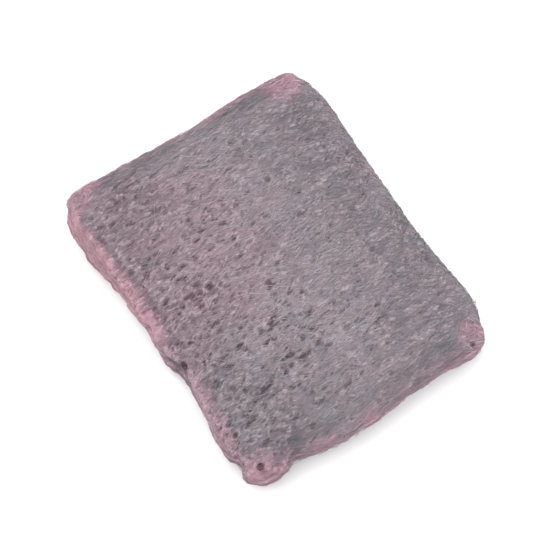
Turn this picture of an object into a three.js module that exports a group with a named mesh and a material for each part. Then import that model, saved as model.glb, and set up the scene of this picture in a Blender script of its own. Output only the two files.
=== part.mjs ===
// A soap-filled steel wool scouring pad, lying flat as it rests on a table.
//
// The pad is one piece: a ribbon of felted steel fibres folded once on itself, with pink soap pressed
// between its two halves. The fold is the full round edge at +X. At -X the ribbon's two cut ends meet in
// a lip with a slit between them, and along the two selvedges at +Y and -Y the halves meet in a crease.
// The fibres run along X, from the lip round the fold and back.
//
// Frame, in millimetres: +Z up, +Y along the fold and the lip, origin under the middle of the pad on the
// flat patch that it rests on.

import * as THREE from "three";
import { mergeVertices } from "three/addons/utils/BufferGeometryUtils.js";

// Driving dimensions.
const LENGTH = 80; // along the lip and the fold
const WIDTH = 65; // from the lip to the fold
const THICKNESS = 16; // from the table to the crown
const SLIT_HEIGHT = 7.2; // height of the slit and of the creases above the table

// How far the parting line between the two halves reaches in, behind the tips of its lips.
const LIP_SLIT = 4.8;
const SELVEDGE_CREASE = 1.8;

// Along one short stretch the upper lip is pulled back, and the lower lip shows in front of it.
const NICK_AT = -8; // its middle, measured from the middle of the lip
const NICK_REACH = 5.5; // either way from its middle
const NICK_DEPTH = 1.8;
const NICK_FROM = 9; // height from which it closes up again, and where it has closed
const NICK_TO = 12.4;

// The felt is uneven: the rim wanders, the faces swell and the corners of the upper half sag.
const RIM_WANDER = 0.3;
const FACE_SWELL = 0.3;
const CORNER_SAG = 1.7;

const RIM_FACETS = 192; // facets round the rim

// The rim in plan, anticlockwise, as [x, y] in half widths and half lengths. The fold is a little hollow in
// the middle, and its corner at +Y is blunt. The selvedge at -Y bows out. The lip bows out towards +Y. A
// small lobe of felt, with a nick on either side, hangs out of the corner at -X -Y.
const RIM = [
  // the fold
  [0.966, 0.1],
  [0.975, 0.5],
  [0.98, 0.7],
  [0.94, 0.88],
  [0.86, 0.98],
  // the selvedge at +Y
  [0.73, 0.995],
  [0.1, 0.985],
  [-0.5, 0.987],
  [-0.9, 1.0],
  // the lip
  [-0.99, 0.965],
  [-1.06, 0.82],
  [-1.065, 0.68],
  [-1.015, 0.3],
  [-0.99, 0.08],
  [-1.02, -0.12],
  [-0.965, -0.32],
  [-1.015, -0.8],
  // the lobe
  [-0.955, -0.865],
  [-0.995, -0.915],
  [-0.92, -0.995],
  [-0.77, -1.02],
  [-0.68, -1.0],
  [-0.63, -0.972],
  // the selvedge at -Y
  [-0.56, -1.006],
  [-0.3, -1.038],
  [0.1, -1.028],
  [0.6, -1.005],
  [0.83, -1.015],
  // back to the fold
  [0.91, -0.97],
  [0.965, -0.88],
  [1.005, -0.78],
  [0.99, -0.55],
  [0.966, -0.25],
];

// Half-sections of the pad's rim, from the flat of the underside out to the rim and up to the edge of the
// face, as [distance in from the rim, height]. Both lists have the same number of points.
const SEAM_SECTION = [
  [9.0, 0.0],
  [5.0, 0.35],
  [2.8, 1.2],
  [1.5, 2.4],
  [0.8, 3.7],
  [0.55, 4.9],
  [0.8, 5.9],
  [1.5, 6.6],
  [1.7, SLIT_HEIGHT],
  [1.2, 7.7],
  [0.2, 8.3],
  [0.0, 9.2],
  [0.2, 10.3],
  [0.8, 11.3],
  [1.7, 11.9],
  [2.9, 12.2],
];
const FOLD_SECTION = [
  [9.0, 0.0],
  [5.2, 0.4],
  [3.3, 1.3],
  [1.9, 2.5],
  [1.0, 3.8],
  [0.35, 5.2],
  [0.1, 6.3],
  [0.02, 7.0],
  [0.0, 7.6],
  [0.02, 8.3],
  [0.15, 9.1],
  [0.4, 10.0],
  [0.85, 11.0],
  [1.5, 11.9],
  [2.3, 12.7],
  [3.4, 13.4],
];
const PARTING = SEAM_SECTION.findIndex((point) => point[1] === SLIT_HEIGHT);

// Rings of points on the flat of the underside and on the face: distances in from the rim, then shares
// of the way out from the middle.
const FACE_INSETS = [5.2, 8.5, 13.0];
const INNER_SHARES = [0.34, 0.0];

// The face's height at its edge, by the lip and by the fold. From there it swells up to the crown.
const FACE_EDGE_AT_LIP = 12.4;
const FACE_EDGE_AT_FOLD = 13.3;

// Smooth step from 0 to 1 between two values.
const smooth = (low, high, value) => THREE.MathUtils.smoothstep(value, low, high);

// Unevenness of the rim at a share of the way round it, between -1 and 1.
function wander(along, height) {
  const turns = 2 * Math.PI * along;
  const slow = Math.sin(11 * turns + 0.6 + 0.1 * height);
  const middling = Math.sin(23 * turns + 2.1 - 0.35 * height);
  const quick = Math.sin(41 * turns + 4.0 + 0.5 * height);
  return 0.45 * slow + 0.33 * middling + 0.22 * quick;
}

// Unevenness of the faces at a place in plan, between -1 and 1.
function swell(x, y) {
  const slow = Math.sin(0.13 * x + 0.07 * y + 1.1) * Math.sin(0.12 * y - 0.8);
  const quick = Math.sin(0.2 * x - 0.17 * y + 1.4);
  return 0.6 * slow + 0.4 * quick;
}

// Height of the face at a place in plan.
function faceHeight(x, y) {
  const across = x / (WIDTH / 2);
  const along = y / (LENGTH / 2);
  const edge = THREE.MathUtils.lerp(FACE_EDGE_AT_LIP, FACE_EDGE_AT_FOLD, smooth(-1, 1, across));
  const crown = Math.max(0, 1 - Math.abs(across) ** 3) * Math.max(0, 1 - Math.abs(along) ** 3.4);
  return edge + (THICKNESS - edge) * crown;
}

// How much the upper half is lowered or raised by its own unevenness.
function unevenness(x, y, height) {
  const inCorner = smooth(0.5, 1, Math.abs((x * y) / ((WIDTH / 2) * (LENGTH / 2))));
  const upper = Math.max(0, (height - SLIT_HEIGHT) / (THICKNESS - SLIT_HEIGHT));
  return upper * (FACE_SWELL * swell(x, y) - CORNER_SAG * inCorner);
}

// The half-section at one place on the rim, from the middle of the underside round to the crown.
function halfSection(rimPoint, along) {
  const atFold = smooth(0.66, 0.93, rimPoint.x / (WIDTH / 2));
  const atLip = smooth(0.85, 0.98, -rimPoint.x / (WIDTH / 2));
  const reach = rimPoint.length();
  const roughness = RIM_WANDER * (1 - 0.6 * atFold) * (1 + atLip);
  const partingDepth = (1 - atFold) * THREE.MathUtils.lerp(SELVEDGE_CREASE, LIP_SLIT, atLip);
  const nickDepth = atLip * NICK_DEPTH * (1 - smooth(0, NICK_REACH, Math.abs(rimPoint.y - NICK_AT)));

  const underside = INNER_SHARES.map((share) => [share, 0]).reverse();
  const edge = SEAM_SECTION.map(([seamInset, seamHeight], index) => {
    const [foldInset, foldHeight] = FOLD_SECTION[index];
    const height = THREE.MathUtils.lerp(seamHeight, foldHeight, atFold);
    const parting = index === PARTING ? partingDepth : 0;
    const nick = index > PARTING ? nickDepth * (1 - smooth(NICK_FROM, NICK_TO, height)) : 0;
    const inset = THREE.MathUtils.lerp(seamInset, foldInset, atFold) + parting + nick;
    const share = 1 - inset / reach;
    return [share + (smooth(0.75, 1, share) * roughness * wander(along, height)) / reach, height];
  });
  const face = FACE_INSETS.map((inset) => 1 - inset / reach)
    .concat(INNER_SHARES)
    .map((share) => [share, faceHeight(rimPoint.x * share, rimPoint.y * share)]);

  return [...underside, ...edge, ...face].map(([share, height]) => {
    const x = rimPoint.x * share;
    const y = rimPoint.y * share;
    return new THREE.Vector3(x, y, height + unevenness(x, y, height));
  });
}

// The pad starts as a plain turned drum with as many rows as the half-section has points. Each of its
// points then goes to its own place on the pad. LatheGeometry lists its points column by column.
function padGeometry() {
  const corners = RIM.map(([x, y]) => new THREE.Vector3((x * WIDTH) / 2, (y * LENGTH) / 2, 0));
  const rim = new THREE.CatmullRomCurve3(corners, true, "centripetal").getSpacedPoints(RIM_FACETS);
  const rows = INNER_SHARES.length + SEAM_SECTION.length + FACE_INSETS.length + INNER_SHARES.length;
  const drum = Array.from({ length: rows }, (_, row) => {
    const ends = row === 0 || row === rows - 1;
    return new THREE.Vector2(ends ? 0 : WIDTH / 2, row);
  });
  const geometry = new THREE.LatheGeometry(drum, RIM_FACETS);
  const position = geometry.getAttribute("position");
  for (let column = 0; column <= RIM_FACETS; column += 1) {
    const place = column % RIM_FACETS;
    const section = halfSection(rim[place], place / RIM_FACETS);
    section.forEach((point, row) => position.setXYZ(column * rows + row, point.x, point.y, point.z));
  }
  geometry.deleteAttribute("normal");
  geometry.deleteAttribute("uv");
  const closed = mergeVertices(geometry, 1e-4);
  closed.computeBoundingBox();
  const middle = closed.boundingBox.getCenter(new THREE.Vector3());
  closed.translate(-middle.x, -middle.y, 0);
  closed.computeVertexNormals();
  return closed;
}

// Dull grey steel fibre, tinted by the dried soap.
const soapedSteel = new THREE.MeshStandardMaterial({
  color: new THREE.Color(0x96898f),
  roughness: 0.7,
  metalness: 0.35,
});

const pad = new THREE.Mesh(padGeometry(), soapedSteel);
pad.name = "steel_wool_pad";

const part = new THREE.Group();
part.add(pad);

export default part;
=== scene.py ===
import math

import bpy
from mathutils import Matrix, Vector


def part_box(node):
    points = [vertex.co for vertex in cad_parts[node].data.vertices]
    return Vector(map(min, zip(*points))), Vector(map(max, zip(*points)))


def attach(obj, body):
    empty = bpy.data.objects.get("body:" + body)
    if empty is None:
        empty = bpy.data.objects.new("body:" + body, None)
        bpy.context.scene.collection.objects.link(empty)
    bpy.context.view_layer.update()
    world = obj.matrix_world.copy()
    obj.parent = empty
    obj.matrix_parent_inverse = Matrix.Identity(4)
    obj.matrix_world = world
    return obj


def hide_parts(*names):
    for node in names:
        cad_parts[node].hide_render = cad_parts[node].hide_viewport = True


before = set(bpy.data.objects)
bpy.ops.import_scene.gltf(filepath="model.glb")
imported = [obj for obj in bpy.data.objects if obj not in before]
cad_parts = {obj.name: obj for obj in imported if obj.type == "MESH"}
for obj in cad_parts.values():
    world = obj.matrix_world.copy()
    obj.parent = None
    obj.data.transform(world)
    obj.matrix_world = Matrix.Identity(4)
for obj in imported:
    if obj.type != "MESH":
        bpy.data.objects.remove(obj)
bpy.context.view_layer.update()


# The felt body. One ribbon of steel wool, pressed and folded once on itself, so that its mass is a
# dense grey felt. It is the ground that shows between the fibres lying on it, with painted shade
# darkening it in its pits, and it is stained pink by the soap where that has come through: at the lip,
# along the selvedges and in the corners.
MM = 0.001
FELT_VOXEL = 0.45 * MM
FELT_SINK = 0.25 * MM  # how far the felt lies below the tips of the fibres
FELT_RELIEF = 0.25 * MM
LUMP_SIZE = 2.0 * MM
PIT_DEPTH = 0.6 * MM
WIDE_PIT = 1.2 * MM  # sizes across the ribbon
NARROW_PIT = 0.75 * MM
PIT_CLUSTER = 7 * MM
FELT_DARK = (0.07, 0.052, 0.059, 1.0)
FELT_GREY = (0.34, 0.288, 0.32, 1.0)
PINK_DARK = (0.22, 0.10, 0.13, 1.0)
FELT_PINK = (0.50, 0.31, 0.365, 1.0)

lowest, highest = (Vector(corner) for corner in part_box("steel_wool_pad"))
FOLD_RADIUS = 8.0 * MM
FOLD_X = highest.x - FOLD_RADIUS  # the line that the ribbon turns about
FOLD_Z = 7.6 * MM
LIP_X = lowest.x
LIP_Z = 9.2 * MM  # height of the upper lip's tip
HALF_LENGTH = highest.y

# The bead of soap along the lip thins out at the nick, and a groove runs behind it.
CLOT_SIZE = 3.6 * MM
BEAD_WHOLE = 3.4 * MM  # how far in from the lip the soap is whole
BEAD_END = 4.8 * MM  # and where it ends
SIDE_SOAP_WHOLE = 1.4 * MM  # the same, in from the selvedges
SIDE_SOAP_END = 3.8 * MM
GROOVE_IN = 4.6 * MM
GROOVE_REACH = 1.0 * MM  # either way from its middle
NICK_Y = -7 * MM

# Where soap has come through the faces, as (x, y, reach, strength).
STAINS = [
    (-20 * MM, 12 * MM, 34 * MM, 0.28),
    (-27.5 * MM, -38.5 * MM, 6.5 * MM, 0.85),
    (26 * MM, 40 * MM, 9 * MM, 1.0),
    (29 * MM, -38 * MM, 6 * MM, 0.8),
    (-31 * MM, 38 * MM, 7 * MM, 0.8),
    (-25.5 * MM, 41 * MM, 5.5 * MM, 0.9),
    (33 * MM, 9 * MM, 4 * MM, 0.25),
]

# Holes that go deeper into the upper half and are painted dark with the pits' painted shade, as (x, y,
# radius).
HOLES = [
    (-27.1 * MM, -36.8 * MM, 0.8 * MM),
    (27.2 * MM, -38.6 * MM, 0.6 * MM),
    (-29.4 * MM, -8.4 * MM, 0.9 * MM),
]


class Tree:
    """A node tree, with short ways to add its nodes."""

    def __init__(self, tree):
        self.tree = tree

    def node(self, kind, values=None, **settings):
        """A new node, its settings made and its inputs filled with numbers or linked sockets."""
        node = self.tree.nodes.new(kind)
        for setting, value in settings.items():
            setattr(node, setting, value)
        for key, value in (values or {}).items():
            self.fill(node.inputs[key], value)
        return node

    def fill(self, socket, value):
        if isinstance(value, bpy.types.NodeSocket):
            self.tree.links.new(value, socket)
        elif value is not None:
            socket.default_value = value

    def math(self, operation, first, second=None, third=None):
        values = {0: first, 1: second, 2: third}
        return self.node("ShaderNodeMath", values, operation=operation).outputs[0]

    def vector_math(self, operation, first, second=None, scale=None):
        values = {0: first, 1: second, 3: scale}
        node = self.node("ShaderNodeVectorMath", values, operation=operation)
        return node.outputs["Value" if operation in ("LENGTH", "DISTANCE") else "Vector"]

    def vector(self, x, y, z):
        return self.node("ShaderNodeCombineXYZ", {0: x, 1: y, 2: z}).outputs[0]

    def parts(self, vector):
        return self.node("ShaderNodeSeparateXYZ", {0: vector}).outputs[0:3]

    def noise(self, vector, size, detail=2.0, roughness=0.5):
        values = {"Vector": vector, "Scale": 1 / size, "Detail": detail, "Roughness": roughness}
        return self.node("ShaderNodeTexNoise", values).outputs[0]

    def rescale(self, value, low, high, new_low=0.0, new_high=1.0, smooth=False):
        values = {0: value, 1: low, 2: high, 3: new_low, 4: new_high}
        kind = "SMOOTHSTEP" if smooth else "LINEAR"
        return self.node("ShaderNodeMapRange", values, interpolation_type=kind).outputs[0]

    def mix(self, share, first, second, blend="MIX"):
        values = {0: share, 6: first, 7: second}
        return self.node("ShaderNodeMix", values, data_type="RGBA", blend_type=blend).outputs[2]

    def store(self, geometry, name, value, kind="FLOAT", domain="POINT"):
        values = {"Geometry": geometry, "Name": name, "Value": value}
        node = self.node("GeometryNodeStoreNamedAttribute", values, data_type=kind, domain=domain)
        return node.outputs[0]

    def capture(self, geometry, value):
        """The geometry, and the value as it was at this step of the tree."""
        node = self.node("GeometryNodeCaptureAttribute")
        node.capture_items.new("FLOAT", "kept")
        self.fill(node.inputs["Geometry"], geometry)
        self.fill(node.inputs["kept"], value)
        return node.outputs["Geometry"], node.outputs["kept"]


def ribbon_place(tree, position):
    """The place along the folded ribbon from the middle of the fold, and the place across it."""
    x, y, z = tree.parts(position)
    above = tree.math("SUBTRACT", z, FOLD_Z)
    beyond = tree.math("SUBTRACT", x, FOLD_X)
    angle = tree.math("ARCTAN2", above, tree.math("MAXIMUM", beyond, 0.0))
    in_arc = tree.math("MULTIPLY", angle, FOLD_RADIUS)
    side = tree.math("SIGN", above)
    before_arc = tree.math("MAXIMUM", tree.math("MULTIPLY", beyond, -1.0), 0.0)
    return tree.math("MULTIPLY_ADD", side, before_arc, in_arc), y


def pit_share(tree, position, soap):
    """The small dark pits between bunches of fibres, drawn out along the ribbon, from 0 to 1. There are
    more of them towards the lip, they are shallow towards the fold and the selvedges, and soap fills
    them up. The felt and the fibres sink into them, and painted shade darkens their colour there."""
    x, y, z = tree.parts(position)
    along, across = ribbon_place(tree, position)
    cell = tree.vector(tree.math("MULTIPLY", along, 0.55), across, z)
    clustered = tree.rescale(tree.noise(cell, PIT_CLUSTER, 1.0), 0.3, 0.7, -0.035, 0.035)
    more = tree.math("ADD", clustered, tree.rescale(x, 25 * MM, -15 * MM, -0.035, 0.018))
    wide = tree.math("ADD", tree.noise(cell, WIDE_PIT, 2.0), more)
    narrow = tree.math("ADD", tree.noise(cell, NARROW_PIT, 1.0), more)
    pits = tree.rescale(wide, 0.585, 0.68, smooth=True)
    pits = tree.math("MAXIMUM", pits, tree.rescale(narrow, 0.61, 0.70, 0.0, 0.6, smooth=True))
    pits = tree.math("MULTIPLY", pits, tree.rescale(soap, 0.35, 0.8, 1.0, 0.4))
    pits = tree.math("MULTIPLY", pits, tree.rescale(x, -15 * MM, 20 * MM, 1.15, 0.65))
    off_middle = tree.math("ABSOLUTE", y)
    pits = tree.math("MULTIPLY", pits, tree.rescale(off_middle, 20 * MM, 36 * MM, 1.0, 0.6))
    on_top = tree.math("GREATER_THAN", z, FOLD_Z)
    for hole_x, hole_y, radius in HOLES:
        away = tree.vector_math("DISTANCE", tree.vector(x, y, 0.0), (hole_x, hole_y, 0.0))
        hole = tree.rescale(away, 1.4 * radius, 0.6 * radius, 0.0, 1.6, smooth=True)
        pits = tree.math("MAXIMUM", pits, tree.math("MULTIPLY", hole, on_top))
    return pits


def way_out(tree, solid, position, direction):
    """The distance in one direction from a place on the solid to its rim."""
    x, y, z = tree.parts(position)
    inside = tree.vector(tree.math("MULTIPLY", x, 0.97), tree.math("MULTIPLY", y, 0.97), LIP_Z)
    values = {"Target Geometry": solid, "Source Position": inside, "Ray Direction": direction}
    ray = tree.node("GeometryNodeRaycast", {**values, "Ray Length": 1.0})
    return tree.math("MULTIPLY", ray.outputs["Hit Distance"], ray.outputs["Is Hit"])


def soap_share(tree, solid, position):
    """How much soap has come through at a place on the solid, from 0 to 1."""
    x, y, z = tree.parts(position)
    patchy = tree.noise(position, 6 * MM, 2.0)
    ragged = tree.rescale(tree.noise(position, 2.2 * MM, 3.0), 0.25, 0.75, -0.9 * MM, 0.9 * MM)
    from_lip = tree.math("ADD", way_out(tree, solid, position, (-1, 0, 0)), ragged)
    most = tree.rescale(y, -10 * MM, 8 * MM, 0.6, 1.0, smooth=True)
    off_nick = tree.math("ABSOLUTE", tree.math("SUBTRACT", y, NICK_Y))
    most = tree.math("MULTIPLY", most, tree.rescale(off_nick, 2 * MM, 8 * MM, 0.6, 1.0, smooth=True))
    lip = tree.math("MULTIPLY", tree.rescale(from_lip, BEAD_END, BEAD_WHOLE, smooth=True), most)
    to_far_side = way_out(tree, solid, position, (0, 1, 0))
    to_near_side = way_out(tree, solid, position, (0, -1, 0))
    from_side = tree.math("ADD", tree.math("MINIMUM", to_far_side, to_near_side), ragged)
    side = tree.rescale(from_side, SIDE_SOAP_END, SIDE_SOAP_WHOLE, 0.0, 0.8, smooth=True)
    side = tree.math("MULTIPLY", side, tree.rescale(patchy, 0.38, 0.6, 0.35, 1.0))
    share = tree.math("MAXIMUM", lip, side)
    for stain_x, stain_y, reach, strength in STAINS:
        away = tree.vector_math("DISTANCE", tree.vector(x, y, 0.0), (stain_x, stain_y, 0.0))
        edge = tree.math("MULTIPLY_ADD", ragged, 1.5, away)
        stain = tree.rescale(edge, reach, 0.4 * reach, 0.0, strength, smooth=True)
        share = tree.math("MAXIMUM", share, stain)
    return tree.math("MULTIPLY", share, tree.rescale(patchy, 0.35, 0.6, 0.72, 1.0))


def relief(tree, inputs, solid, position, soap, pits):
    """How far the felt rises above the plain form at a place on it: it lies sunk, with lumps along the
    ribbon, clots in a bead of soap at the lip, a groove behind the bead, and pits and holes."""
    along, across = ribbon_place(tree, position)
    drawn_out = tree.vector(tree.math("MULTIPLY", along, 0.35), across, tree.parts(position)[2])
    lumps = tree.rescale(tree.noise(drawn_out, LUMP_SIZE, 2.0), 0.0, 1.0, -1.0, 1.0)
    clots = tree.rescale(tree.noise(position, CLOT_SIZE, 2.0), 0.35, 0.65, 0.2, 2.6)
    clotted = tree.math("MULTIPLY", clots, tree.rescale(soap, 0.5, 0.95))
    from_lip = way_out(tree, solid, position, (-1, 0, 0))
    off_groove = tree.math("ABSOLUTE", tree.math("SUBTRACT", from_lip, GROOVE_IN))
    groove = tree.rescale(off_groove, GROOVE_REACH, 0.0, 0.0, 1.2, smooth=True)
    broken = tree.rescale(tree.noise(position, 4 * MM, 1.0), 0.4, 0.6)
    rise = tree.math("ADD", lumps, clotted)
    rise = tree.math("SUBTRACT", rise, tree.math("MULTIPLY", groove, broken))
    rise = tree.math("SUBTRACT", tree.math("MULTIPLY", rise, inputs["Relief"]), inputs["Sink"])
    return tree.math("SUBTRACT", rise, tree.math("MULTIPLY", pits, inputs["Pit depth"]))


def new_material(name):
    material = bpy.data.materials.new(name)
    material.use_nodes = True
    return material, Tree(material.node_tree), material.node_tree.nodes["Principled BSDF"]


def felt_material():
    material, tree, shader = new_material("felted steel wool")
    position = tree.node("ShaderNodeTexCoord").outputs["Object"]
    soap = tree.node("ShaderNodeAttribute", attribute_name="soap").outputs["Fac"]
    pits = tree.node("ShaderNodeAttribute", attribute_name="pit").outputs["Fac"]
    along, across = ribbon_place(tree, position)
    drawn_out = tree.vector(tree.math("MULTIPLY", along, 0.3), across, tree.parts(position)[2])
    streaks = tree.noise(drawn_out, 0.3 * MM, 3.0, 0.6)
    # Painted shade: in the pits the felt is painted down towards its dark colours.
    solid = tree.rescale(pits, 0.0, 1.0, 1.0, 0.1)
    shade = tree.math("MULTIPLY", tree.rescale(streaks, 0.25, 0.65), solid)
    grey = tree.mix(shade, FELT_DARK, FELT_GREY)
    pink = tree.mix(shade, PINK_DARK, FELT_PINK)
    tree.fill(shader.inputs["Base Color"], tree.mix(soap, grey, pink))
    tree.fill(shader.inputs["Roughness"], 0.8)
    tree.fill(shader.inputs["Metallic"], 0.1)
    bump = tree.node("ShaderNodeBump", {"Height": streaks, "Strength": 0.7, "Distance": 0.3 * MM})
    tree.fill(shader.inputs["Normal"], bump.outputs[0])
    return material


def new_group(name, sockets):
    """A Geometry Nodes group with named inputs, its tree, and its inputs' sockets."""
    group = bpy.data.node_groups.new(name, "GeometryNodeTree")
    for socket, kind in {"Geometry": "Geometry", **sockets}.items():
        group.interface.new_socket(socket, in_out="INPUT", socket_type="NodeSocket" + kind)
    group.interface.new_socket("Geometry", in_out="OUTPUT", socket_type="NodeSocketGeometry")
    tree = Tree(group)
    return group, tree, tree.node("NodeGroupInput").outputs


def end_group(tree, geometry, material):
    """Ends a group with plain geometry that has its material on."""
    real = tree.node("GeometryNodeRealizeInstances", {"Geometry": geometry}).outputs[0]
    painted = tree.node("GeometryNodeSetMaterial", {"Geometry": real, "Material": material}).outputs[0]
    tree.node("NodeGroupOutput", {0: painted})


def felt_group():
    """Gives the plain form its relief and its soap."""
    sockets = {"Sink": "Float", "Relief": "Float", "Pit depth": "Float", "Material": "Material"}
    group, tree, inputs = new_group("felt", sockets)
    position = tree.node("GeometryNodeInputPosition").outputs[0]
    normal = tree.node("GeometryNodeInputNormal").outputs[0]
    soap = soap_share(tree, inputs["Geometry"], position)
    pits = pit_share(tree, position, soap)
    soaped = tree.store(tree.store(inputs["Geometry"], "soap", soap), "pit", pits)
    rise = relief(tree, inputs, inputs["Geometry"], position, soap, pits)
    moved = tree.vector_math("ADD", position, tree.vector_math("SCALE", normal, scale=rise))
    x, y, z = tree.parts(moved)
    lifted = tree.vector(x, y, tree.math("MAXIMUM", z, inputs["Sink"]))
    placed = tree.node("GeometryNodeSetPosition", {"Geometry": soaped, "Position": lifted}).outputs[0]
    end_group(tree, placed, inputs["Material"])
    return group


def set_inputs(modifier, values):
    """Sets a Geometry Nodes modifier's inputs, each by its socket's identifier."""
    for item in modifier.node_group.interface.items_tree:
        if item.in_out == "INPUT" and item.name in values:
            modifier[item.identifier] = values[item.name]


def evaluated(builder, name):
    """The builder's evaluated mesh as a plain object, with the builder gone."""
    depsgraph = bpy.context.evaluated_depsgraph_get()
    mesh = bpy.data.meshes.new_from_object(builder.evaluated_get(depsgraph), depsgraph=depsgraph)
    mesh.name = name
    builder_mesh = builder.data
    bpy.data.objects.remove(builder)
    bpy.data.meshes.remove(builder_mesh)
    plain = bpy.data.objects.new(name, mesh)
    bpy.context.scene.collection.objects.link(plain)
    return plain


def grown(name, mesh, group, values):
    """A piece that a Geometry Nodes group makes from a mesh, on the root body."""
    builder = bpy.data.objects.new(name + "_builder", mesh)
    bpy.context.scene.collection.objects.link(builder)
    growing = builder.modifiers.new("growing", "NODES")
    growing.node_group = group
    set_inputs(growing, values)
    piece = evaluated(builder, name)
    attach(piece, "root")
    return piece


# The plain form is the folded ribbon without its relief. The fibres are laid over it too.
form_builder = bpy.data.objects.new("form_builder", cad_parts["steel_wool_pad"].data.copy())
bpy.context.scene.collection.objects.link(form_builder)
weld = form_builder.modifiers.new("weld", "WELD")
weld.merge_threshold = 0.001 * MM
even_mesh = form_builder.modifiers.new("even mesh", "REMESH")
even_mesh.mode = "VOXEL"
even_mesh.voxel_size = FELT_VOXEL
smoothing = form_builder.modifiers.new("smoothing", "SMOOTH")
smoothing.iterations = 3
form = evaluated(form_builder, "form")

FELT_MEASURES = {"Sink": FELT_SINK, "Relief": FELT_RELIEF, "Pit depth": PIT_DEPTH}
felt = grown("felt_body", form.data.copy(), felt_group(), {**FELT_MEASURES, "Material": felt_material()})
felt.data.shade_smooth()
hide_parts("steel_wool_pad")


# The fibres on the faces. Fine shaved steel fibres lie on the felt, roughly along the ribbon, from
# the lip over the top, round the fold and back underneath. They curl, cross each other, bunch up and
# dive into the pits. Each is a thin sliver of steel, dulled by dried soap.
FIBRE_POINTS = 6
SLOW_WAVES = (5 * MM, 11 * MM)  # the shortest and the longest
QUICK_WAVES = (3.5 * MM, 6 * MM)
WAVES_IN_AND_OUT = (4 * MM, 9 * MM)
BUNCH_SIZE = 1.7 * MM
TAPERED = 0.2  # share of a fibre's length that tapers at each end
TIP = 0.3  # thickness at the tips, as a share of the fibre's
FARTHEST_IN = 8 * MM  # from a guide to the felt that it stands off
FIBRE_TONES = [
    (0.0, (0.255, 0.22, 0.24, 1.0)),
    (0.4, (0.32, 0.278, 0.303, 1.0)),
    (0.85, (0.385, 0.34, 0.37, 1.0)),
    (1.0, (0.48, 0.435, 0.465, 1.0)),
]
SOAPED_TONES = [
    (0.0, (0.38, 0.215, 0.262, 1.0)),
    (0.5, (0.49, 0.305, 0.362, 1.0)),
    (1.0, (0.62, 0.44, 0.495, 1.0)),
]
COOL_TINT = (0.95, 1.0, 1.015, 1.0)
WARM_TINT = (1.06, 1.0, 1.0, 1.0)
# Painted shade and painted highlight: the fibres are darkened towards the lip and the fold, so that the
# middle of a face stays bright.
PAINTED_SHADE_TINT = (0.74, 0.75, 0.76, 1.0)
PAINTED_HIGHLIGHT_SHAPE = (1.35, 0.55, 0.0)  # the bright middle is longer along the fold than across it
PAINTED_PIT_SHADE = (0.46, 0.38, 0.40, 1.0)


def tone_ramp(tree, tone, stops):
    """The colour that the stops give for a tone from 0 to 1."""
    ramp = tree.node("ShaderNodeValToRGB", {"Fac": tone})
    elements = ramp.color_ramp.elements
    while len(elements) < len(stops):
        elements.new(0.5)
    for element, (place, colour) in zip(elements, stops):
        element.position = place
        element.color = colour
    return ramp.outputs["Color"]


def fibre_material():
    material, tree, shader = new_material("soaped steel fibre")
    position = tree.node("ShaderNodeTexCoord").outputs["Object"]
    tone = tree.node("ShaderNodeAttribute", attribute_name="tone").outputs["Fac"]
    soap = tree.node("ShaderNodeAttribute", attribute_name="soap").outputs["Fac"]
    flecks = tree.rescale(tree.noise(position, 0.8 * MM, 2.0), 0.3, 0.7, -0.15, 0.15)
    patches = tree.rescale(tree.noise(position, 9 * MM, 2.0), 0.3, 0.7, -0.2, 0.2)
    mottled = tree.math("ADD", tree.math("ADD", tone, flecks), patches)
    tint = tree.mix(tree.rescale(tree.noise(position, 5 * MM, 2.0), 0.38, 0.62), COOL_TINT, WARM_TINT)
    grey = tree.mix(1.0, tone_ramp(tree, mottled, FIBRE_TONES), tint, "MULTIPLY")

    # Painted light: the fibres are painted brightest along the middle of a face, and painted shade
    # darkens them towards the lip and the fold.
    from_middle = tree.vector_math("LENGTH", tree.vector_math("MULTIPLY", position, PAINTED_HIGHLIGHT_SHAPE))
    painted_shade_share = tree.rescale(from_middle, 12 * MM, 36 * MM, smooth=True)
    grey = tree.mix(painted_shade_share, grey, PAINTED_SHADE_TINT, "MULTIPLY")
    colour = tree.mix(soap, grey, tone_ramp(tree, mottled, SOAPED_TONES))
    # Painted shade: the fibres are darkened where they lie in the pits.
    pit_shade_share = tree.node("ShaderNodeAttribute", attribute_name="pit").outputs["Fac"]
    tree.fill(shader.inputs["Base Color"], tree.mix(pit_shade_share, colour, PAINTED_PIT_SHADE, "MULTIPLY"))
    tree.fill(shader.inputs["Roughness"], 0.65)
    tree.fill(shader.inputs["Metallic"], 0.2)
    return material


def over_ribbon(tree, along, across, turn):
    """A guide outside the felt, straight over the top and the bottom and round the fold, and the way in
    from it."""
    quarter = tree.math("MULTIPLY", turn, math.pi / 2)
    back = tree.math("MULTIPLY", quarter, -1.0)
    in_arc = tree.math("MINIMUM", tree.math("MAXIMUM", along, back), quarter)
    angle = tree.math("DIVIDE", in_arc, turn)
    cosine = tree.math("COSINE", angle)
    sine = tree.math("SINE", angle)
    straight = tree.math("ABSOLUTE", tree.math("SUBTRACT", along, in_arc))
    x = tree.math("SUBTRACT", tree.math("MULTIPLY_ADD", cosine, turn, FOLD_X), straight)
    z = tree.math("MULTIPLY_ADD", sine, turn, FOLD_Z)
    inwards = tree.vector_math("SCALE", tree.vector(cosine, 0.0, sine), scale=-1.0)
    return tree.vector(x, across, z), inwards


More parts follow.
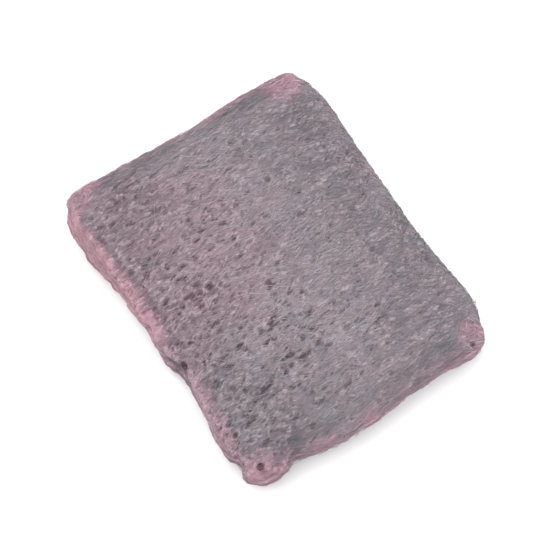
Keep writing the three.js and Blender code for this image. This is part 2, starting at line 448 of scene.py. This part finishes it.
def fibre_group(name, guide_place):
    """Short curled fibres that follow a guide and lie on the felt under it."""
    sockets = {"Form": "Object", "Fibres": "Int", "Seed": "Int", "Material": "Material"}
    sockets.update({"Sink": "Float", "Relief": "Float", "Pit depth": "Float"})
    measures = ["Shortest", "Longest", "Thinnest", "Thickest"]
    measures += ["Along low", "Along high", "Across low", "Across high", "Turn low", "Turn high"]
    measures += ["Slant", "Curl", "Bunching", "Sunk", "Proud", "Dive"]
    sockets.update({measure: "Float" for measure in measures})
    group, tree, inputs = new_group(name, sockets)

    # One line of points for each fibre, all at the origin to begin with.
    starts = tree.node("GeometryNodePoints", {"Count": inputs["Fibres"]}).outputs[0]
    line = tree.node("GeometryNodeCurvePrimitiveLine", mode="POINTS").outputs[0]
    dotted = tree.node("GeometryNodeResampleCurve", {"Curve": line, "Count": FIBRE_POINTS}).outputs[0]
    laid = tree.node("GeometryNodeInstanceOnPoints", {"Points": starts, "Instance": dotted}).outputs[0]
    lines = tree.node("GeometryNodeRealizeInstances", {"Geometry": laid}).outputs[0]
    fibre = tree.node("GeometryNodeCurveOfPoint").outputs["Curve Index"]
    share = tree.node("GeometryNodeSplineParameter").outputs["Factor"]
    draws = iter(range(100))

    def draw(low, high):
        """A number drawn for each fibre."""
        seed = tree.math("ADD", inputs["Seed"], float(next(draws)))
        values = {2: low, 3: high, "ID": fibre, "Seed": seed}
        return tree.node("FunctionNodeRandomValue", values, data_type="FLOAT").outputs[1]

    length = draw(inputs["Shortest"], inputs["Longest"])
    from_middle = tree.math("MULTIPLY", tree.math("SUBTRACT", share, 0.5), length)

    def wave(shortest, longest):
        """A wave along the fibre, between -1 and 1, with a length and a start drawn for each fibre."""
        turns = tree.math("DIVIDE", 2 * math.pi, draw(shortest, longest))
        phase = tree.math("MULTIPLY_ADD", from_middle, turns, draw(0.0, 2 * math.pi))
        return tree.math("SINE", phase)

    along = tree.math("ADD", draw(inputs["Along low"], inputs["Along high"]), from_middle)
    slant = tree.math("MULTIPLY", draw(-1.0, 1.0), draw(0.0, inputs["Slant"]))
    middle = draw(inputs["Across low"], inputs["Across high"])
    across = tree.math("MULTIPLY_ADD", slant, from_middle, middle)
    slow = tree.math("MULTIPLY", wave(*SLOW_WAVES), draw(0.2, 1.0))
    quick = tree.math("MULTIPLY", wave(*QUICK_WAVES), draw(0.0, 0.4))
    across = tree.math("MULTIPLY_ADD", tree.math("ADD", slow, quick), inputs["Curl"], across)

    # Neighbours bunch together.
    cell = tree.vector(tree.math("MULTIPLY", along, 0.4), across, tree.math("SIGN", along))
    bunch = tree.rescale(tree.noise(cell, BUNCH_SIZE, 1.0), 0.0, 1.0, -1.0, 1.0)
    across = tree.math("MULTIPLY_ADD", bunch, inputs["Bunching"], across)
    turn = draw(inputs["Turn low"], inputs["Turn high"])
    guide, inwards = guide_place(tree, along, across, turn)

    # Each point of the fibre lies on the felt straight in from its guide, a little sunk or proud.
    solid = tree.node("GeometryNodeObjectInfo", {"Object": inputs["Form"]}).outputs["Geometry"]
    values = {"Target Geometry": solid, "Source Position": guide, "Ray Direction": inwards}
    ray = tree.node("GeometryNodeRaycast", {**values, "Ray Length": FARTHEST_IN})
    on_form = ray.outputs["Hit Position"]
    soap = soap_share(tree, solid, on_form)
    pits = pit_share(tree, on_form, soap)
    in_and_out = tree.math("MULTIPLY_ADD", wave(*WAVES_IN_AND_OUT), 0.5, 0.5)
    top = draw(0.0, inputs["Proud"])
    swing = tree.math("SUBTRACT", top, inputs["Sunk"])
    lift = tree.math("MULTIPLY_ADD", in_and_out, swing, inputs["Sunk"])
    lift = tree.math("MULTIPLY_ADD", pits, inputs["Dive"], lift)
    lift = tree.math("ADD", lift, relief(tree, inputs, solid, on_form, soap, pits))
    lifted = tree.vector_math("SCALE", ray.outputs["Hit Normal"], scale=lift)
    x, y, z = tree.parts(tree.vector_math("ADD", on_form, lifted))
    table = tree.math("MULTIPLY", inputs["Thickest"], 0.5)
    above_table = tree.vector(x, y, tree.math("MAXIMUM", z, table))
    soaped = tree.store(tree.store(lines, "soap", soap), "pit", pits)
    soaped, on_felt = tree.capture(soaped, ray.outputs["Is Hit"])
    moved = {"Geometry": soaped, "Position": above_table}
    placed = tree.node("GeometryNodeSetPosition", moved).outputs[0]

    # What runs past the rim is cut off, and what is left as a stub goes.
    past_rim = {"Geometry": placed, "Selection": tree.math("LESS_THAN", on_felt, 0.5)}
    trimmed = tree.node("GeometryNodeDeleteGeometry", past_rim, domain="POINT").outputs[0]
    points_left = tree.node("GeometryNodeSplineLength").outputs["Point Count"]
    stub = {"Geometry": trimmed, "Selection": tree.math("LESS_THAN", points_left, 2.5)}
    whole = tree.node("GeometryNodeDeleteGeometry", stub, domain="CURVE").outputs[0]

    # The fibre's thickness, tapered at both ends, and its tone.
    from_end = tree.math("MINIMUM", share, tree.math("SUBTRACT", 1.0, share))
    taper = tree.rescale(from_end, 0.0, TAPERED, TIP, 1.0)
    radius = tree.math("MULTIPLY", draw(inputs["Thinnest"], inputs["Thickest"]), 0.5)
    radius = tree.math("MULTIPLY", radius, taper)
    toned = tree.store(whole, "tone", draw(0.0, 1.0))
    counted, fibre_number = tree.capture(toned, fibre)
    measured, place_along = tree.capture(counted, share)
    three_sided = {"Resolution": 3, "Radius": 1.0}
    ring = tree.node("GeometryNodeCurvePrimitiveCircle", three_sided, mode="RADIUS").outputs[0]
    ring, place_round = tree.capture(ring, tree.node("GeometryNodeSplineParameter").outputs["Factor"])
    tube = {"Curve": measured, "Profile Curve": ring, "Fill Caps": True, "Scale": radius}
    tubes = tree.node("GeometryNodeCurveToMesh", tube).outputs[0]

    # The piece's own map has a small cell for each fibre, which runs from left to right in it. The
    # three lines of its points lie at 0.1, 0.5 and 0.9 of the cell's height. The middle line is set a
    # tenth of the cell to the right, so that the caps have room on the map too.
    cells = tree.math("CEIL", tree.math("SQRT", inputs["Fibres"]))
    column = tree.math("FLOORED_MODULO", fibre_number, cells)
    row = tree.math("FLOOR", tree.math("DIVIDE", fibre_number, cells))
    offset = tree.math("PINGPONG", place_round, 1 / 3)
    in_cell = tree.math("MULTIPLY_ADD", place_along, 0.7, tree.math("MULTIPLY_ADD", offset, 0.3, 0.1))
    up_cell = tree.math("MULTIPLY_ADD", place_round, 1.2, 0.1)
    u = tree.math("DIVIDE", tree.math("ADD", column, in_cell), cells)
    v = tree.math("DIVIDE", tree.math("ADD", row, up_cell), cells)
    mapped = tree.store(tubes, "OFBake", tree.vector(u, v, 0.0), "FLOAT2", "CORNER")
    end_group(tree, mapped, inputs["Material"])
    return group


def lay_fibres(name, group, values):
    """Lays one set of fibres on the felt, as a piece of its own."""
    return grown(name, bpy.data.meshes.new(name + "_builder"), group, values)


ribbon_fibres = fibre_group("ribbon fibres", over_ribbon)
GUIDE_TURN = 9 * MM
FOLD_TO_LIP = math.pi / 2 * GUIDE_TURN + FOLD_X - LIP_X
FACE_FIBRES = {
    **FELT_MEASURES,
    "Form": form,
    "Material": fibre_material(),
    "Shortest": 4 * MM,
    "Longest": 9.5 * MM,
    "Thinnest": 0.07 * MM,
    "Thickest": 0.16 * MM,
    "Turn low": GUIDE_TURN,
    "Turn high": GUIDE_TURN,
    "Across low": -HALF_LENGTH - 0.5 * MM,
    "Across high": HALF_LENGTH + 0.5 * MM,
    "Slant": 0.8,
    "Curl": 0.8 * MM,
    "Bunching": 0.5 * MM,
    "Sunk": -0.1 * MM,
    "Proud": 0.45 * MM,
    "Dive": -0.15 * MM,
}
for number in (1, 2):
    laid = {"Fibres": 6000, "Seed": 1000 * number, "Along low": -6 * MM, "Along high": FOLD_TO_LIP}
    lay_fibres(f"top_fibres_{number}", ribbon_fibres, {**FACE_FIBRES, **laid})
laid = {"Fibres": 4300, "Seed": 3000, "Along low": -FOLD_TO_LIP, "Along high": 6 * MM}
lay_fibres("under_fibres", ribbon_fibres, {**FACE_FIBRES, **laid})


# The fibres on the selvedges. At the ribbon's two long edges the layers of fibre show edge on, as
# lines that run along the side, turn about the fold one inside the other and come back.
def beside_ribbon(tree, along, layer, side):
    """A guide beside the pad, in a layer at a distance from the parting, and the way in from it."""
    guide = over_ribbon(tree, along, side, layer)[0]
    return guide, tree.vector(0.0, tree.math("MULTIPLY", tree.math("SIGN", side), -1.0), 0.0)


selvedge_fibres = fibre_group("selvedge fibres", beside_ribbon)
SELVEDGE_FIBRES = {
    **FACE_FIBRES,
    "Fibres": 1800,
    "Across low": 1.9 * MM,
    "Across high": 6.6 * MM,
    "Slant": 0.12,
    "Curl": 0.35 * MM,
    "Bunching": 0.35 * MM,
    "Proud": 0.55 * MM,
    "Along low": -FOLD_TO_LIP,
    "Along high": FOLD_TO_LIP,
}
for name, side, seed in (("far_selvedge_fibres", 1, 4000), ("near_selvedge_fibres", -1, 5000)):
    beside = side * (HALF_LENGTH + 1 * MM)
    laid = {"Seed": seed, "Turn low": beside, "Turn high": beside}
    lay_fibres(name, selvedge_fibres, {**SELVEDGE_FIBRES, **laid})


# The fibres of the lip. The ribbon's two cut ends are pinched together and clotted with pink soap, so
# the fibres there are matted into a bead that runs along each of the two.
BEAD_X = LIP_X + 2.6 * MM  # the middle of both beads
UPPER_BEAD_Z = 9.8 * MM
LOWER_BEAD_Z = 4.2 * MM
BEAD_GUIDE = 4 * MM  # distance of the guides from the middle of a bead


def round_lip(tree, along, angle, height):
    """A guide along the lip, at an angle round its bead from straight out to straight up and over, and
    the way in from it."""
    cosine = tree.math("COSINE", angle)
    sine = tree.math("SINE", angle)
    x = tree.math("MULTIPLY_ADD", cosine, -BEAD_GUIDE, BEAD_X)
    z = tree.math("MULTIPLY_ADD", sine, BEAD_GUIDE, height)
    return tree.vector(x, along, z), tree.vector(cosine, 0.0, tree.math("MULTIPLY", sine, -1.0))


lip_fibres = fibre_group("lip fibres", round_lip)
LIP_FIBRES = {
    **FACE_FIBRES,
    "Shortest": 3 * MM,
    "Longest": 8 * MM,
    "Along low": -HALF_LENGTH + 1 * MM,
    "Along high": HALF_LENGTH - 1 * MM,
    "Slant": 60.0,  # radians round the bead for each metre along it
    "Curl": 0.2,  # radians, as for the bunching
    "Bunching": 0.1,
    "Proud": 0.35 * MM,
}
UPPER_LIP_FIBRES = {
    "Fibres": 1500,
    "Seed": 6000,
    "Across low": -0.2,  # angles round the bead, in radians
    "Across high": 1.6,
    "Turn low": UPPER_BEAD_Z,
    "Turn high": UPPER_BEAD_Z,
}
LOWER_LIP_FIBRES = {
    "Fibres": 800,
    "Seed": 7000,
    "Across low": -1.1,
    "Across high": 0.4,
    "Turn low": LOWER_BEAD_Z,
    "Turn high": LOWER_BEAD_Z,
}
lay_fibres("upper_lip_fibres", lip_fibres, {**LIP_FIBRES, **UPPER_LIP_FIBRES})
lay_fibres("lower_lip_fibres", lip_fibres, {**LIP_FIBRES, **LOWER_LIP_FIBRES})


# Stray fibres. The wool is cut and not bound, so a few of its finest fibres come loose. They stand a
# little proud of the pad all over it, and cross the others at steeper angles.
STRAYS = {
    "Fibres": 420,
    "Seed": 8000,
    "Thinnest": 0.06 * MM,
    "Thickest": 0.11 * MM,
    "Slant": 2.0,
    "Curl": 1.6 * MM,
    "Proud": 1.1 * MM,
    "Along low": -FOLD_TO_LIP,
    "Along high": FOLD_TO_LIP,
}
lay_fibres("stray_fibres", ribbon_fibres, {**FACE_FIBRES, **STRAYS})


# The stage. A sheet of white paper is the floor. Soft light comes from above, from low beside the
# fold and from all round, and the camera looks down from beyond the lobe.
FLOOR_REACH = 1.5
PAPER_WHITE = (0.88, 0.88, 0.88, 1.0)
ROOM_WHITE = (1.0, 1.0, 1.0, 1.0)
ROOM_STRENGTH = 0.9
corners = [(x * FLOOR_REACH, y * FLOOR_REACH, 0.0) for x, y in ((-1, -1), (1, -1), (1, 1), (-1, 1))]
floor_mesh = bpy.data.meshes.new("floor")
floor_mesh.from_pydata(corners, [], [(0, 1, 2, 3)])
floor = bpy.data.objects.new("floor", floor_mesh)
bpy.context.scene.collection.objects.link(floor)
paper, paper_tree, paper_shader = new_material("white paper")
paper_tree.fill(paper_shader.inputs["Base Color"], PAPER_WHITE)
paper_tree.fill(paper_shader.inputs["Roughness"], 0.9)
floor_mesh.materials.append(paper)

world = bpy.data.worlds.new("studio")
bpy.context.scene.world = world
world.use_nodes = True
room = world.node_tree.nodes["Background"]
room.inputs["Color"].default_value = ROOM_WHITE
room.inputs["Strength"].default_value = ROOM_STRENGTH


def soft_light(name, place, size, power):
    """A square lamp turned towards the pad, its side in metres and its power in watts."""
    lamp = bpy.data.lights.new(name, "AREA")
    lamp.shape = "SQUARE"
    lamp.size = size
    lamp.energy = power
    stand = bpy.data.objects.new(name, lamp)
    stand.location = place
    stand.rotation_euler = (-Vector(place)).to_track_quat("-Z", "Y").to_euler()
    bpy.context.scene.collection.objects.link(stand)


soft_light("key", place=(-0.12, 0.1, 0.65), size=0.6, power=4.3)
soft_light("fill", place=(0.5, -0.32, 0.13), size=0.5, power=2.8)

CAMERA_TURN = math.radians(-32.5)
CAMERA_TILT = math.radians(70)
CAMERA_DISTANCE = 0.4
LENS = 116  # millimetres, behind a frame 36 mm wide
aim = Vector((0.0, 0.0, 0.007))
flat = math.cos(CAMERA_TILT)
direction = Vector((math.sin(CAMERA_TURN) * flat, -math.cos(CAMERA_TURN) * flat, math.sin(CAMERA_TILT)))
lens = bpy.data.cameras.new("camera")
lens.lens = LENS
lens.sensor_width = 36
camera = bpy.data.objects.new("camera", lens)
camera.location = aim + CAMERA_DISTANCE * direction
camera.rotation_euler = (-direction).to_track_quat("-Z", "Y").to_euler()
bpy.context.scene.collection.objects.link(camera)
bpy.context.scene.camera = camera
bpy.context.scene.view_settings.view_transform = "Standard"

bpy.data.objects.remove(form)
